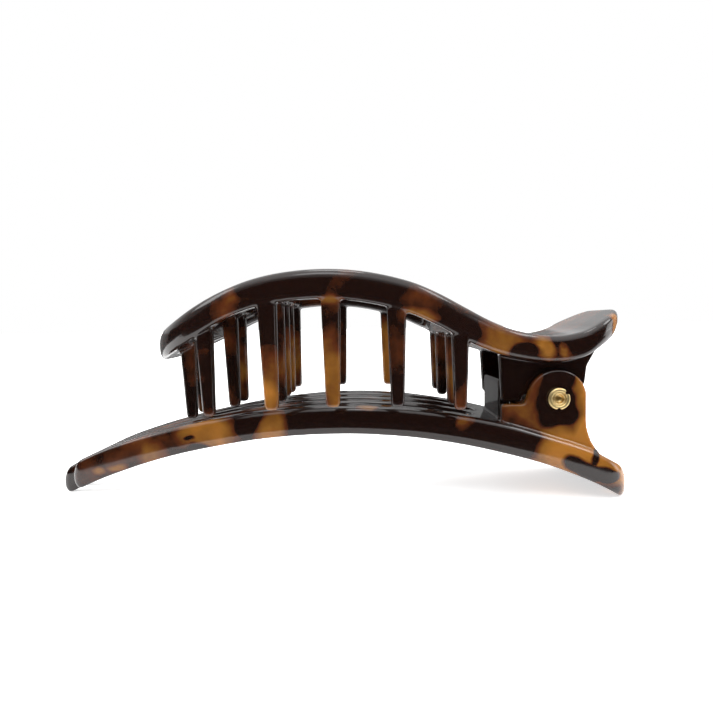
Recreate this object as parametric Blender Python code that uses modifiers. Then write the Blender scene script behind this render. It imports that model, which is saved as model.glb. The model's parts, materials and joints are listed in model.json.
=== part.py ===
"""Flat hair clip: an open oval jaw with teeth that closes on a curved four-prong plate.

The clip lies on its plate. X runs along it from the prong tips to the tail, Y across it, Z up.
The origin is under its middle, on the surface it rests on. Lengths in the tables are millimetres.
"""

import bpy
import bmesh
from math import atan2, cos, pi, radians, sin, sqrt
from mathutils import Matrix, Vector

MM = 0.001

# Hinge
HINGE_X = 43.0
HINGE_Z = 19.3
RIVET_RADIUS = 1.5
RIVET_LIP = (
    # radius, height over the ear's face
    (0.0, -0.60),
    (0.80, -0.45),
    (0.80, 0.40),
    (1.15, 0.55),
    (1.75, 0.50),
    (2.05, 0.20),
    (1.95, 0.0),
    (RIVET_RADIUS, 0.0),
)
RIVET_SIDES = 24
PIN_CLEARANCE = 0.3
PIECE_GAP = 0.3
BORE_OVERRUN = 1.0

# Lower jaw, seen from above
PLATE_HALF_WIDTH = 13.3
TAIL_END = 56.8
TAIL_CORNER = 5.0
OUTER_PRONG_TIP = -52.0
INNER_PRONG_TIP = -56.8
CENTRE_SLOT_HALF = 1.6
INNER_PRONG_OUTSIDE = 5.6
OUTER_PRONG_INSIDE = 8.7
SIDE_SLOT_END = 27.0
CENTRE_SLOT_END = 29.0
PRONG_CORNER = 1.9
SLOT_CORNER = 1.4
LOWER_HALF_HEIGHT = 2.65

# Upper jaw, seen from above
RING_FRONT = -35.6
RING_FRONT_CENTRE = -8.0
RING_HALF_WIDTH = 20.4
RING_SIDE_END = 14.0
RAIL_WIDTH = 4.6
WINDOW_FRONT = -28.4
WINDOW_END = 21.4
WINDOW_CORNER = 3.0
WINDOW_REAR_INSET = 0.6
TAB_START = 40.0
TAB_HALF_WIDTH = 12.8
TAB_END = 56.5
TAB_CORNER = 8.5
UPPER_HALF_HEIGHT = 2.6

# Rounding of the jaws' edges, and the height of the slanted band along their lower edge
EDGE_ROUND = 1.1
LOWER_BAND = 2.3

# Length of the slices that a jaw is bent in, and of its first and last slice
SLICE = 4.0
END_SLICE = 1.5
SLICE_TOLERANCE = 0.005
MERGE_DISTANCE = 0.02
FLAT_ANGLE = 0.5

# Side view and half width of the lower jaw, a row for each section from the prong tips to the tail
LOWER_SECTIONS = (
    # x, bottom, top, half width
    (-56.8, -0.80, 4.60, 8.60),
    (-50.0, 2.50, 8.20, 8.80),
    (-44.5, 4.75, 10.45, 9.00),
    (-35.0, 7.85, 13.30, 9.50),
    (-25.2, 10.15, 15.55, 10.20),
    (-12.0, 12.35, 17.70, 11.70),
    (2.0, 13.20, 18.60, 13.00),
    (14.0, 12.55, 18.05, 13.30),
    (24.0, 11.05, 16.65, 13.30),
    (33.0, 9.00, 14.75, 13.30),
    (41.0, 6.70, 12.30, 13.30),
    (48.5, 3.75, 9.75, 13.30),
    (53.0, 1.50, 7.40, 13.30),
    (56.8, -1.00, 5.30, 13.30),
)

# Side view of the upper jaw, a row for each section from the front of the ring to the tab's end
UPPER_SECTIONS = (
    # x, bottom, top
    (-35.6, 26.90, 32.30),
    (-30.5, 29.00, 34.60),
    (-24.0, 32.40, 37.90),
    (-18.9, 35.10, 40.15),
    (-13.2, 37.10, 42.10),
    (-7.0, 38.25, 43.30),
    (0.0, 38.50, 43.70),
    (7.0, 37.75, 43.10),
    (14.2, 35.90, 41.40),
    (19.4, 33.60, 39.30),
    (24.6, 30.80, 36.70),
    (29.8, 28.60, 34.15),
    (35.0, 27.10, 32.30),
    (42.0, 26.25, 31.20),
    (47.5, 27.00, 31.95),
    (51.5, 29.20, 33.90),
    (56.5, 32.30, 36.60),
)

# Teeth, a row for each tooth or mirrored pair
TEETH = (
    # name, x, y, tip height, width at the root, width at the tip, lean of the tip, mirrored
    ("nose", -29.4, 3.9, 15.3, 3.0, 2.2, 0.5, True),
    ("shoulder", -23.0, 14.0, 17.3, 3.2, 2.3, 0.5, True),
    ("front_bar", -20.6, 3.9, 17.6, 3.0, 2.3, 0.5, True),
    ("bar_side", -10.6, 18.0, 18.9, 3.5, 2.5, 0.5, True),
    ("bar_inner", -10.6, 7.2, 18.9, 3.0, 2.3, 0.5, True),
    ("bar_middle", -10.6, 0.0, 19.1, 3.0, 2.3, 0.5, False),
    ("crown", 0.7, 18.0, 19.3, 3.5, 2.6, 0.1, True),
    ("rear", 12.3, 18.0, 19.2, 3.5, 2.4, 0.0, True),
    ("web_side", 23.8, 15.9, 18.1, 3.2, 2.3, 0.0, True),
    ("web_inner", 23.8, 7.5, 17.9, 3.0, 2.2, 0.0, True),
)
TOOTH_DEPTH = 3.0
TOOTH_TIP_DEPTH = 2.2
TOOTH_ROUND = 0.55
TOOTH_EMBED = 2.4

# Crossbars inside the ring
BARS = (
    # x, width, half length, height
    (-20.6, 3.2, 14.0, 3.4),
    (-10.6, 3.4, 17.5, 4.4),
)
BAR_DROP = 0.45

# Ears, in side view
LOWER_EAR_OUTSIDE = 11.6
EAR_THICKNESS = 2.0
EAR_EDGE = 0.35
UPPER_EAR_OUTSIDE = 9.3
LOWER_EAR_RADIUS = 5.5
LOWER_EAR_STEP = 18.3
LOWER_EAR_FRONT = 32.5
LOWER_EAR_STEP_END = 37.0
LOWER_EAR_STEP_CORNER = 0.4
LOWER_EAR_PLAIN_FOOT = 35.8
LOWER_EAR_PLAIN_TOP = (36.4, 16.3)
LOWER_EAR_REAR = 48.45
LOWER_EAR_REAR_SINK = 0.6
EAR_ROOT_DEPTH = 2.0
LOWER_EAR_ARCH_START = 168.0
LOWER_EAR_ARCH_END = 10.0
LOWER_EAR_FOOT = 3.2
LOWER_EAR_FLARE = (
    # distance behind LOWER_EAR_REAR, z
    (0.0, 15.1),
    (0.5, 12.4),
    (1.5, 10.2),
)
UPPER_EAR_OUTLINE = (
    # x, z, corner radius
    (32.4, 30.5, 0.0),
    (33.1, 18.4, 0.5),
    (36.6, 18.4, 0.5),
    (37.4, 20.2, 1.0),
    (39.9, 19.2, 0.6),
    (39.9, 14.9, 0.8),
    (45.9, 14.3, 0.8),
    (45.9, 20.3, 1.2),
    (49.0, 21.6, 0.8),
    (49.4, 25.2, 1.8),
    (51.8, 29.5, 0.0),
)
CROSS_WALL_FRONT = 33.0
CROSS_WALL_REAR = 35.4
CROSS_WALL_HALF = 7.0
CROSS_WALL_TOP = 22.7

# Torsion spring
WIRE_RADIUS = 0.5
COIL_RADIUS = 2.7
COIL_TURNS = 4
COIL_HALF_LENGTH = 4.2
COIL_POINTS_PER_TURN = 12
SPRING_ARM_X = 50.2

COLLECTION = "flat_hair_clip"
CUTTERS = "cutters"


def remove_startup_objects():
    for obj in list(bpy.data.objects):
        bpy.data.objects.remove(obj, do_unlink=True)


def new_collection(name, hidden=False):
    collection = bpy.data.collections.new(name)
    bpy.context.scene.collection.children.link(collection)
    collection.hide_render = hidden
    return collection


def material(name, colour, roughness, metallic=0.0):
    made = bpy.data.materials.new(name)
    made.use_nodes = True
    shader = made.node_tree.nodes["Principled BSDF"]
    shader.inputs["Base Color"].default_value = (*colour, 1.0)
    shader.inputs["Roughness"].default_value = roughness
    shader.inputs["Metallic"].default_value = metallic
    made.diffuse_color = (*colour, 1.0)
    return made


def section(table, x):
    """The columns of a section table at x, on smooth curves through its rows."""
    last = len(table) - 1
    x = min(max(x, table[0][0]), table[last][0])
    i = next(k for k in range(last) if x <= table[k + 1][0])
    x0, x1 = table[i][0], table[i + 1][0]
    span = x1 - x0
    t = (x - x0) / span
    values = []
    for column in range(1, len(table[0])):
        def slope(k):
            before, after = max(k - 1, 0), min(k + 1, last)
            rise = table[after][column] - table[before][column]
            return rise / (table[after][0] - table[before][0])
        a, b = table[i][column], table[i + 1][column]
        values.append(
            a * (1 + 2 * t) * (1 - t) ** 2
            + b * t * t * (3 - 2 * t)
            + slope(i) * span * t * (1 - t) ** 2
            - slope(i + 1) * span * t * t * (1 - t)
        )
    return values


def rounded(corners, steps=4):
    """Outline through (x, y, radius) corners, each turned by an arc of its radius."""
    outline = []
    count = len(corners)
    for i, (x, y, radius) in enumerate(corners):
        here = Vector((x, y))
        if radius == 0.0:
            outline.append((x, y))
            continue
        back = Vector(corners[i - 1][:2]) - here
        ahead = Vector(corners[(i + 1) % count][:2]) - here
        half = back.angle(ahead) / 2
        reach = radius * cos(half) / sin(half)
        start = here + back.normalized() * reach
        centre = here + (back.normalized() + ahead.normalized()).normalized() * radius / sin(half)
        first = start - centre
        turn = (pi - 2 * half) * (1 if back.cross(ahead) < 0 else -1)
        for k in range(steps + 1):
            point = centre + Matrix.Rotation(turn * k / steps, 2) @ first
            outline.append((point.x, point.y))
    return outline


def ring_outline():
    """Half of the ring and tab from above, from the nose along +Y to the tab's end."""
    half = []
    nose_steps = 12
    reach = RING_FRONT_CENTRE - RING_FRONT
    for k in range(nose_steps + 1):
        angle = pi / 2 * k / nose_steps
        half.append((RING_FRONT_CENTRE - reach * cos(angle), RING_HALF_WIDTH * sin(angle)))
    side_steps = 10
    for k in range(side_steps + 1):
        t = k / side_steps
        ease = t * t * (3 - 2 * t)
        half.append((
            RING_SIDE_END + (TAB_START - RING_SIDE_END) * t,
            RING_HALF_WIDTH + (TAB_HALF_WIDTH - RING_HALF_WIDTH) * ease,
        ))
    corner_steps = 5
    for k in range(corner_steps + 1):
        angle = pi / 2 * k / corner_steps
        half.append((
            TAB_END - TAB_CORNER + TAB_CORNER * sin(angle),
            TAB_HALF_WIDTH - TAB_CORNER + TAB_CORNER * cos(angle),
        ))
    return half


def window_outline():
    """The ring's opening from above: a half ellipse in front, straight sides, a round-cornered rear."""
    half = []
    inside = RING_HALF_WIDTH - RAIL_WIDTH
    reach = RING_FRONT_CENTRE - WINDOW_FRONT
    front_steps = 10
    for k in range(front_steps + 1):
        angle = pi / 2 * k / front_steps
        half.append((RING_FRONT_CENTRE - reach * cos(angle), inside * sin(angle)))
    corner_steps = 4
    for k in range(corner_steps + 1):
        angle = pi / 2 * k / corner_steps
        half.append((
            WINDOW_END - WINDOW_CORNER + WINDOW_CORNER * sin(angle),
            inside - WINDOW_CORNER - WINDOW_REAR_INSET + WINDOW_CORNER * cos(angle),
        ))
    return half


def mirrored(half):
    """The whole outline from its half on +Y, whose points on the middle are kept once."""
    on_the_middle = 1e-6
    return half + [(x, -y) for x, y in reversed(half) if y > on_the_middle]


def flat_solid(name, outlines, half_height, edge):
    """Mesh of an extruded outline with holes, its edges rounded, centred on z = 0."""
    curve = bpy.data.curves.new(name, "CURVE")
    curve.dimensions = "2D"
    curve.fill_mode = "BOTH"
    curve.extrude = (half_height - edge) * MM
    curve.bevel_depth = edge * MM
    curve.bevel_resolution = 1
    curve.offset = -edge * MM
    for outline in outlines:
        spline = curve.splines.new("POLY")
        spline.points.add(len(outline) - 1)
        for point, (x, y) in zip(spline.points, outline):
            point.co = (x * MM, y * MM, 0.0, 1.0)
        spline.use_cyclic_u = True
    guide = bpy.data.objects.new(name + "_guide", curve)
    bpy.context.scene.collection.objects.link(guide)
    graph = bpy.context.evaluated_depsgraph_get()
    mesh = bpy.data.meshes.new_from_object(guide.evaluated_get(graph))
    bpy.data.objects.remove(guide, do_unlink=True)
    mesh.name = name
    shape = bmesh.new()
    shape.from_mesh(mesh)
    bmesh.ops.remove_doubles(shape, verts=shape.verts, dist=MERGE_DISTANCE * MM)
    bmesh.ops.dissolve_limit(
        shape, angle_limit=radians(FLAT_ANGLE), verts=shape.verts, edges=shape.edges
    )
    bmesh.ops.recalc_face_normals(shape, faces=shape.faces)
    shape.to_mesh(mesh)
    shape.free()
    return mesh


def bend(mesh, table, half_height):
    """Slices a flat solid across its length and lays it between the bottom and top of a side view.

    What would reach below the surface that the clip rests on becomes a small flat on it.
    """
    shape = bmesh.new()
    shape.from_mesh(mesh)
    low = min(v.co.x for v in shape.verts)
    high = max(v.co.x for v in shape.verts)
    slices = int((high - low) / (SLICE * MM))
    places = [low + (high - low) * k / slices for k in range(1, slices)]
    places += [low + END_SLICE * MM, high - END_SLICE * MM]
    for place in places:
        geometry = list(shape.verts) + list(shape.edges) + list(shape.faces)
        bmesh.ops.bisect_plane(
            shape, geom=geometry, dist=SLICE_TOLERANCE * MM,
            plane_co=(place, 0.0, 0.0), plane_no=(1.0, 0.0, 0.0),
        )
    height = 2 * half_height
    for v in shape.verts:
        level = v.co.z / MM + half_height
        if level < EDGE_ROUND:
            level *= LOWER_BAND / EDGE_ROUND
        elif level < height - EDGE_ROUND:
            level = max(level, LOWER_BAND)
        bottom, top, *width = section(table, v.co.x / MM)
        v.co.z = max(bottom + (top - bottom) * level / height, 0.0) * MM
        if width:
            v.co.y *= width[0] / PLATE_HALF_WIDTH
    bmesh.ops.triangulate(shape, faces=shape.faces)
    bmesh.ops.recalc_face_normals(shape, faces=shape.faces)
    shape.to_mesh(mesh)
    shape.free()


def add_object(name, mesh, collection, look=None):
    obj = bpy.data.objects.new(name, mesh)
    collection.objects.link(obj)
    if look is not None:
        mesh.materials.clear()
        mesh.materials.append(look)
    return obj


def helper(name, mesh, cutters):
    """An object that a Boolean reads and no render shows."""
    obj = add_object(name, mesh, cutters)
    obj.hide_render = True
    obj.display_type = "WIRE"
    return obj


def combine(target, other, operation):
    modifier = target.modifiers.new(other.name, "BOOLEAN")
    modifier.operation = operation
    modifier.solver = "EXACT"
    modifier.object = other


def tooth_mesh(name, x, y, tip, root_width, tip_width, lean, root):
    """A tapering tooth with rounded edges, from the height root down to tip."""
    shape = bmesh.new()
    bmesh.ops.create_cube(shape, size=1.0)
    for v in shape.verts:
        at_root = v.co.z > 0
        width = root_width if at_root else tip_width
        depth = TOOTH_DEPTH if at_root else TOOTH_TIP_DEPTH
        middle = x if at_root else x + lean
        v.co = Vector((
            middle + width * v.co.x,
            y + depth * v.co.y,
            root if at_root else tip,
        )) * MM
    long_edges = [e for e in shape.edges if abs(e.verts[0].co.z - e.verts[1].co.z) > MM]
    just_over_tip = (tip + MERGE_DISTANCE) * MM
    tip_edges = [e for e in shape.edges if max(v.co.z for v in e.verts) < just_over_tip]
    bmesh.ops.bevel(
        shape, geom=long_edges + tip_edges, offset=TOOTH_ROUND * MM, segments=2,
        affect="EDGES", profile=0.5, clamp_overlap=True,
    )
    bmesh.ops.recalc_face_normals(shape, faces=shape.faces)
    mesh = bpy.data.meshes.new(name)
    shape.to_mesh(mesh)
    shape.free()
    return mesh


def bar_mesh(name, x, width, half_length, height):
    """A crossbar under the top of the ring, with its ends inside the rails."""
    shape = bmesh.new()
    bmesh.ops.create_cube(shape, size=1.0)
    for v in shape.verts:
        place = x + width * v.co.x
        top = section(UPPER_SECTIONS, place)[1]
        level = top - (BAR_DROP if v.co.z > 0 else height)
        v.co = Vector((place, 2 * half_length * v.co.y, level)) * MM
    mesh = bpy.data.meshes.new(name)
    shape.to_mesh(mesh)
    shape.free()
    return mesh


def ear_mesh(name, outline, outside):
    """A flat ear whose outline lies in side view, on the -Y side when outside is negative."""
    half = EAR_THICKNESS / 2
    mesh = flat_solid(name, [outline], half, EAR_EDGE)
    middle = outside - half if outside > 0 else outside + half
    mesh.transform(Matrix.Rotation(pi / 2, 4, "X"))
    mesh.transform(Matrix.Translation((0.0, middle * MM, 0.0)))
    return mesh


def lower_ear_outline(stepped):
    """Side view of a lower ear: a step in front on one side, an arch round the rivet, a flared rear."""
    arch = []
    arch_steps = 8
    for k in range(arch_steps + 1):
        turn = (LOWER_EAR_ARCH_END - LOWER_EAR_ARCH_START) * k / arch_steps
        angle = radians(LOWER_EAR_ARCH_START + turn)
        arch.append((
            HINGE_X + LOWER_EAR_RADIUS * cos(angle),
            HINGE_Z + LOWER_EAR_RADIUS * sin(angle),
        ))
    front_foot = section(LOWER_SECTIONS, LOWER_EAR_FRONT)[1] - EAR_ROOT_DEPTH
    rear_end = LOWER_EAR_REAR + LOWER_EAR_FOOT
    rear_foot = section(LOWER_SECTIONS, rear_end)[1] - EAR_ROOT_DEPTH
    step = [
        (LOWER_EAR_FRONT, front_foot),
        (LOWER_EAR_FRONT, LOWER_EAR_STEP),
        (LOWER_EAR_STEP_END - LOWER_EAR_STEP_CORNER, LOWER_EAR_STEP),
        (LOWER_EAR_STEP_END, LOWER_EAR_STEP + LOWER_EAR_STEP_CORNER),
    ]
    plain_foot = section(LOWER_SECTIONS, LOWER_EAR_PLAIN_FOOT)[1] - EAR_ROOT_DEPTH
    plain = [
        (LOWER_EAR_PLAIN_FOOT, plain_foot),
        LOWER_EAR_PLAIN_TOP,
    ]
    return [
        *(step if stepped else plain),
        *arch,
        *[(LOWER_EAR_REAR + behind, z) for behind, z in LOWER_EAR_FLARE],
        (rear_end, rear_foot + EAR_ROOT_DEPTH - LOWER_EAR_REAR_SINK),
        (rear_end, rear_foot),
    ]


def axle_cutter(name, radius, half_length, cutters):
    """A cylinder along the hinge's axis."""
    shape = bmesh.new()
    bmesh.ops.create_cone(
        shape, cap_ends=True, segments=RIVET_SIDES, radius1=radius * MM, radius2=radius * MM,
        depth=2 * half_length * MM,
    )
    mesh = bpy.data.meshes.new(name)
    shape.to_mesh(mesh)
    shape.free()
    mesh.transform(Matrix.Rotation(pi / 2, 4, "X"))
    mesh.transform(Matrix.Translation((HINGE_X * MM, 0.0, HINGE_Z * MM)))
    return helper(name, mesh, cutters)


def box_mesh(name, low, high):
    shape = bmesh.new()
    bmesh.ops.create_cube(shape, size=1.0)
    for v in shape.verts:
        v.co = Vector([(a + b) / 2 + (b - a) * c for a, b, c in zip(low, high, v.co)]) * MM
    mesh = bpy.data.meshes.new(name)
    shape.to_mesh(mesh)
    shape.free()
    return mesh


def lower_plate_outline():
    """Half of the plate from above: tail, outer prong, side slot, inner prong, centre slot."""
    return [
        (TAIL_END, PLATE_HALF_WIDTH, TAIL_CORNER),
        (OUTER_PRONG_TIP, PLATE_HALF_WIDTH, PRONG_CORNER),
        (OUTER_PRONG_TIP, OUTER_PRONG_INSIDE, PRONG_CORNER),
        (SIDE_SLOT_END, OUTER_PRONG_INSIDE, SLOT_CORNER),
        (SIDE_SLOT_END, INNER_PRONG_OUTSIDE, SLOT_CORNER),
        (INNER_PRONG_TIP, INNER_PRONG_OUTSIDE, PRONG_CORNER),
        (INNER_PRONG_TIP, CENTRE_SLOT_HALF, PRONG_CORNER),
        (CENTRE_SLOT_END, CENTRE_SLOT_HALF, SLOT_CORNER),
    ]


def make_lower_jaw(collection, cutters, look):
    half = lower_plate_outline()
    whole = half + [(x, -y, radius) for x, y, radius in reversed(half)]
    mesh = flat_solid("lower_jaw", [rounded(whole)], LOWER_HALF_HEIGHT, EDGE_ROUND)
    bend(mesh, LOWER_SECTIONS, LOWER_HALF_HEIGHT)
    jaw = add_object("lower_jaw", mesh, collection, look)
    for side, sign in (("left", -1), ("right", 1)):
        ear = helper(
            "lower_ear_" + side,
            ear_mesh("lower_ear_" + side, lower_ear_outline(sign < 0), sign * LOWER_EAR_OUTSIDE),
            cutters,
        )
        combine(jaw, ear, "UNION")
    foot = section(LOWER_SECTIONS, CROSS_WALL_FRONT)[1] - EAR_ROOT_DEPTH
    wall = box_mesh(
        "cross_wall",
        (CROSS_WALL_FRONT, -CROSS_WALL_HALF, foot),
        (CROSS_WALL_REAR, CROSS_WALL_HALF, CROSS_WALL_TOP),
    )
    combine(jaw, helper("cross_wall", wall, cutters), "UNION")
    bore = axle_cutter("lower_bore", RIVET_RADIUS + PIN_CLEARANCE, LOWER_EAR_OUTSIDE + BORE_OVERRUN, cutters)
    combine(jaw, bore, "DIFFERENCE")
    return jaw


def make_upper_jaw(collection, cutters, look):
    outlines = [mirrored(ring_outline()), mirrored(window_outline())]
    mesh = flat_solid("upper_jaw", outlines, UPPER_HALF_HEIGHT, EDGE_ROUND)
    bend(mesh, UPPER_SECTIONS, UPPER_HALF_HEIGHT)
    jaw = add_object("upper_jaw", mesh, collection, look)
    for i, (x, width, half_length, bar_height) in enumerate(BARS):
        bar = bar_mesh("crossbar_%d" % i, x, width, half_length, bar_height)
        combine(jaw, helper("crossbar_%d" % i, bar, cutters), "UNION")
    for name, x, y, tip, root_width, tip_width, lean, paired in TEETH:
        root = section(UPPER_SECTIONS, x)[0] + TOOTH_EMBED
        for sign in (-1, 1) if paired else (1,):
            label = "tooth_%s_%s" % (name, "left" if sign < 0 else "right")
            tooth = tooth_mesh(label, x, sign * y, tip, root_width, tip_width, lean, root)
            combine(jaw, helper(label, tooth, cutters), "UNION")
    for side, sign in (("left", -1), ("right", 1)):
        ear = helper(
            "upper_ear_" + side,
            ear_mesh("upper_ear_" + side, rounded(UPPER_EAR_OUTLINE, 3), sign * UPPER_EAR_OUTSIDE),
            cutters,
        )
        combine(jaw, ear, "UNION")
    bore = axle_cutter("upper_bore", RIVET_RADIUS + PIN_CLEARANCE, UPPER_EAR_OUTSIDE + BORE_OVERRUN, cutters)
    combine(jaw, bore, "DIFFERENCE")
    return jaw


def make_hinge_rivet(collection, look):
    """A pin with a hollow end and a rolled flange on each side, turned round the hinge's axis."""
    shoulder = LOWER_EAR_OUTSIDE + PIECE_GAP
    profile = [(radius, shoulder + height) for radius, height in RIVET_LIP]
    outline = profile + [(radius, -along) for radius, along in reversed(profile)]
    shape = bmesh.new()
    points = [shape.verts.new((radius * MM, 0.0, along * MM)) for radius, along in outline]
    for pair in zip(points, points[1:]):
        shape.edges.new(pair)
    mesh = bpy.data.meshes.new("hinge_rivet")
    shape.to_mesh(mesh)
    shape.free()
    rivet = add_object("hinge_rivet", mesh, collection, look)
    rivet.location = (HINGE_X * MM, 0.0, HINGE_Z * MM)
    rivet.rotation_euler = (pi / 2, 0.0, 0.0)
    screw = rivet.modifiers.new("turn", "SCREW")
    screw.axis = "Z"
    screw.steps = screw.render_steps = RIVET_SIDES
    screw.use_merge_vertices = True
    screw.merge_threshold = SLICE_TOLERANCE * MM
    screw.use_normal_calculate = True
    return rivet


def tangent_angle(x, z, upper):
    """Angle on the coil where a straight arm from (x, z) meets it, over or under the coil."""
    away = sqrt((x - HINGE_X) ** 2 + (z - HINGE_Z) ** 2)
    towards = atan2(z - HINGE_Z, x - HINGE_X)
    opening = atan2(sqrt(away ** 2 - COIL_RADIUS ** 2), COIL_RADIUS)
    return towards + opening if upper else towards - opening


def make_torsion_spring(collection, look):
    """Wire from the tail, round the rivet and out under the tab."""
    low_z = section(LOWER_SECTIONS, SPRING_ARM_X)[1] + WIRE_RADIUS + PIECE_GAP
    high_z = section(UPPER_SECTIONS, SPRING_ARM_X)[0] - WIRE_RADIUS - PIECE_GAP
    first = tangent_angle(SPRING_ARM_X, low_z, False)
    last = tangent_angle(SPRING_ARM_X, high_z, True) - 2 * pi * (COIL_TURNS + 1)
    steps = int(COIL_POINTS_PER_TURN * (first - last) / (2 * pi))
    path = [(SPRING_ARM_X, -COIL_HALF_LENGTH, low_z)]
    for k in range(steps + 1):
        t = k / steps
        angle = first + (last - first) * t
        path.append((
            HINGE_X + COIL_RADIUS * cos(angle),
            COIL_HALF_LENGTH * (2 * t - 1),
            HINGE_Z + COIL_RADIUS * sin(angle),
        ))
    path.append((SPRING_ARM_X, COIL_HALF_LENGTH, high_z))
    curve = bpy.data.curves.new("torsion_spring", "CURVE")
    curve.dimensions = "3D"
    curve.bevel_depth = WIRE_RADIUS * MM
    curve.bevel_resolution = 2
    curve.use_fill_caps = True
    spline = curve.splines.new("POLY")
    spline.points.add(len(path) - 1)
    for point, co in zip(spline.points, path):
        point.co = (*(c * MM for c in co), 1.0)
    curve.materials.append(look)
    spring = bpy.data.objects.new("torsion_spring", curve)
    collection.objects.link(spring)
    return spring


def main():
    remove_startup_objects()
    parts = new_collection(COLLECTION)
    cutters = new_collection(CUTTERS, hidden=True)
    shell = material("tortoiseshell_acetate", (0.075, 0.03, 0.012), 0.12)
    brass = material("brass", (0.72, 0.5, 0.2), 0.25, 1.0)
    steel = material("spring_steel", (0.35, 0.34, 0.33), 0.35, 1.0)
    make_lower_jaw(parts, cutters, shell)
    make_upper_jaw(parts, cutters, shell)
    make_hinge_rivet(parts, brass)
    make_torsion_spring(parts, steel)


main()
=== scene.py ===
"""Dresses the flat hair clip: two polished tortoiseshell jaws, a rolled brass rivet and its spring.

Run as a script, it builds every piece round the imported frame. Lengths in the tables are millimetres,
X runs along the clip from the prong tips to the thumb tabs, Y across it and Z up.
"""

import bmesh
import bpy
import json
from math import atan2, cos, pi, radians, sin, sqrt
from mathutils import Matrix, Vector


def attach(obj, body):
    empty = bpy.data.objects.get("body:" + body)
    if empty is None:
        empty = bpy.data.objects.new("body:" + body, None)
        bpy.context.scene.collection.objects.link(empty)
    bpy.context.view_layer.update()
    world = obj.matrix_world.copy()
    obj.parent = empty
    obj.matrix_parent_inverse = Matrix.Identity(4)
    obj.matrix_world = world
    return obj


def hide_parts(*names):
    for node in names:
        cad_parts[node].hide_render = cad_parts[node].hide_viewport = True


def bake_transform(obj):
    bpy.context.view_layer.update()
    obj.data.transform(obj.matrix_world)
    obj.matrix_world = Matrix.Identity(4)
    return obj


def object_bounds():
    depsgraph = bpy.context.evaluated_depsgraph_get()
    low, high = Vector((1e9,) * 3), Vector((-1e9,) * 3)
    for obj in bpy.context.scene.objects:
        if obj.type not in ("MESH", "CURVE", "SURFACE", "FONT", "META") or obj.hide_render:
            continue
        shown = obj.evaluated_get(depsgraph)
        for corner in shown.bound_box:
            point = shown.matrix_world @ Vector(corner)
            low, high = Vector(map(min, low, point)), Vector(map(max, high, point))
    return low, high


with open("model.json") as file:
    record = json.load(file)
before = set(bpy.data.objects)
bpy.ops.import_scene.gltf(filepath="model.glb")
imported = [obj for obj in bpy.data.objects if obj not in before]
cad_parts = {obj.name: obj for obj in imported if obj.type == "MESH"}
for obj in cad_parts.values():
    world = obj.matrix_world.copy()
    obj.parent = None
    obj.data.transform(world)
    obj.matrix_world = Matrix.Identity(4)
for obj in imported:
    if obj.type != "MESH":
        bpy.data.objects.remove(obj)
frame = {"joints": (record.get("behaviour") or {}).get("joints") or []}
CAD_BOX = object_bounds()

bl_info = {
    "name": "Tortoiseshell hair clip",
    "version": (1, 0, 0),
    "blender": (4, 5, 0),
    "location": "View3D > Sidebar > Hair clip",
    "description": "Makes a polished flat claw clip round its frame",
    "category": "Add Mesh",
}

MM = 0.001
HINGE = Vector(frame["joints"][0]["pos_m"]) / MM
HINGE_X, HINGE_Z = HINGE.x, HINGE.z

# Distances in metres within which points are one, and the least angle that counts as a bend
MERGE_DISTANCE = 0.00001
CUT_TOLERANCE = 0.000001
STRAIGHT_ANGLE = radians(0.2)

# Angles between faces from which an edge looks sharp
MOULDED_CREASE = radians(50)
ROLLED_CREASE = radians(40)

# Lower jaw, seen from above
PLATE_HALF_WIDTH = 13.3
TAIL_END = 56.8
TAIL_CORNER = 5.0
OUTER_PRONG_TIP = -52.0
INNER_PRONG_TIP = -56.8
CENTRE_SLOT_HALF = 1.6
INNER_PRONG_OUTSIDE = 5.6
OUTER_PRONG_INSIDE = 8.7
SIDE_SLOT_END = 27.0
CENTRE_SLOT_END = 29.0
PRONG_CORNER = 1.9
SLOT_CORNER = 1.4
LOWER_HALF_HEIGHT = 2.65
SIDE_SLOT_MIDDLE = (INNER_PRONG_OUTSIDE + OUTER_PRONG_INSIDE) / 2
TIP_ROUND = 1.7
TIP_KEPT = 0.64

# Upper jaw, seen from above
RING_FRONT = -35.6
RING_FRONT_CENTRE = -8.0
RING_HALF_WIDTH = 20.4
RING_SIDE_END = 14.0
RAIL_WIDTH = 4.6
WINDOW_FRONT = -28.4
WINDOW_END = 21.4
WINDOW_CORNER = 3.0
WINDOW_REAR_INSET = 0.6
TAB_START = 40.0
TAB_HALF_WIDTH = 12.8
TAB_END = 56.5
TAB_CORNER = 8.5
UPPER_HALF_HEIGHT = 2.6

# Height of the slanted band along the jaws' lower edge, and of the soft shoulder along the upper one
LOWER_BAND = 2.3
UPPER_SHOULDER = 1.9

# Side view and half width of the lower jaw, a row for each section from the prong tips to the tail
LOWER_SECTIONS = (
    # x, bottom, top, half width
    (-56.8, -0.80, 4.60, 8.60),
    (-50.0, 2.50, 8.20, 8.80),
    (-44.5, 4.75, 10.45, 9.00),
    (-35.0, 7.85, 13.30, 9.50),
    (-25.2, 10.15, 15.55, 10.20),
    (-12.0, 12.35, 17.70, 11.70),
    (2.0, 13.20, 18.60, 13.00),
    (14.0, 12.55, 18.05, 13.30),
    (24.0, 11.05, 16.65, 13.30),
    (33.0, 9.00, 14.75, 13.30),
    (41.0, 6.70, 12.30, 13.30),
    (48.5, 3.75, 9.75, 13.30),
    (53.0, 1.50, 7.40, 13.30),
    (56.8, -1.00, 5.30, 13.30),
)

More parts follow.
